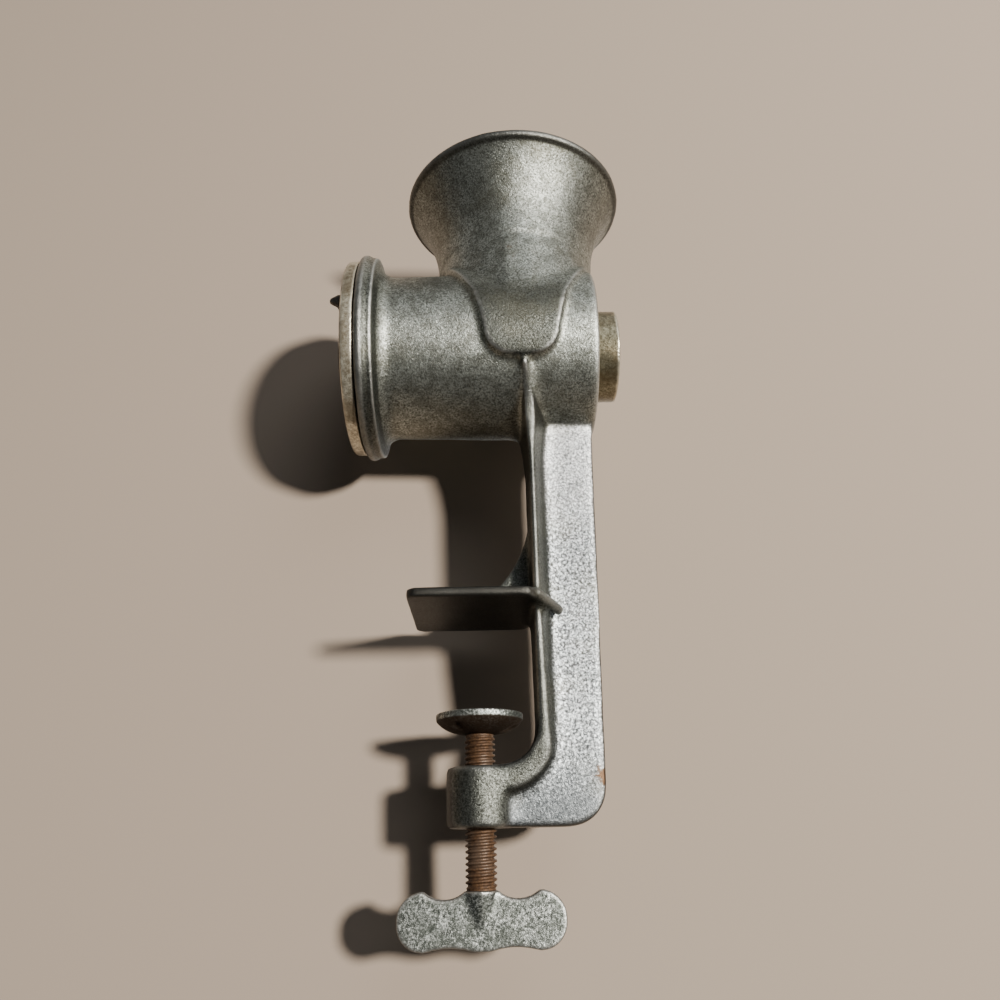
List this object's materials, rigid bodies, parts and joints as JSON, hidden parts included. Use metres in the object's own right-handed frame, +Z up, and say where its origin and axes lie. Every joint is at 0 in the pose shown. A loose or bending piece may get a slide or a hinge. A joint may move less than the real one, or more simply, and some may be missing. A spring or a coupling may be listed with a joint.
{
  "type": "manual meat grinder",
  "caption": "Clamp-on hand grinder: iron casting with a flared hopper over a level barrel, a feed screw with a slotted cutter and thumb nut, and a table clamp with pad, screw and wing.",
  "frame": {"origin": "on the clamp screw's axis, on the underside of the shelf that sits on the table top", "axes": "+Z up along the hopper, +X along the barrel towards the crank end, the cutter at -X"},
  "size_m": [0.1055, 0.0812, 0.2567],
  "materials": {
    "tinned_iron": "worn tinned casting, semi-gloss",
    "machined_iron": "turned, bare, tan with age",
    "dark_steel": "dark, oiled",
    "rusty_steel": "brown with rust",
    "zinc_plate": "dull zinc, mottled"
  },
  "bodies": {
    "casting": {"grinder_body": "tinned_iron"},
    "feed": {"feed_screw": "machined_iron", "cutter_stud": "dark_steel", "cutter": "machined_iron", "cutter_nut": "dark_steel"},
    "pad": {"clamp_pad": "zinc_plate"},
    "screw": {"clamp_screw": "rusty_steel", "clamp_wing": "zinc_plate"}
  },
  "joints": [
    {"name": "feed_spin", "type": "hinge", "parent": "casting", "child": "feed", "pos_m": [0, 0, 0.0945], "axis": [1, 0, 0], "continuous": true},
    {"name": "pad_travel", "type": "slide", "parent": "casting", "child": "pad", "axis": [0, 0, 1], "range_m": [-0.009, 0.0155]},
    {"name": "screw_turn", "type": "hinge", "parent": "pad", "child": "screw", "pos_m": [0, 0, 0], "axis": [0, 0, 1], "range_deg": [-2040, 3514]}
  ],
  "couplings": [
    {"joint": "pad_travel", "follows": "screw_turn", "m_per_rad": 0.00025266}
  ]
}
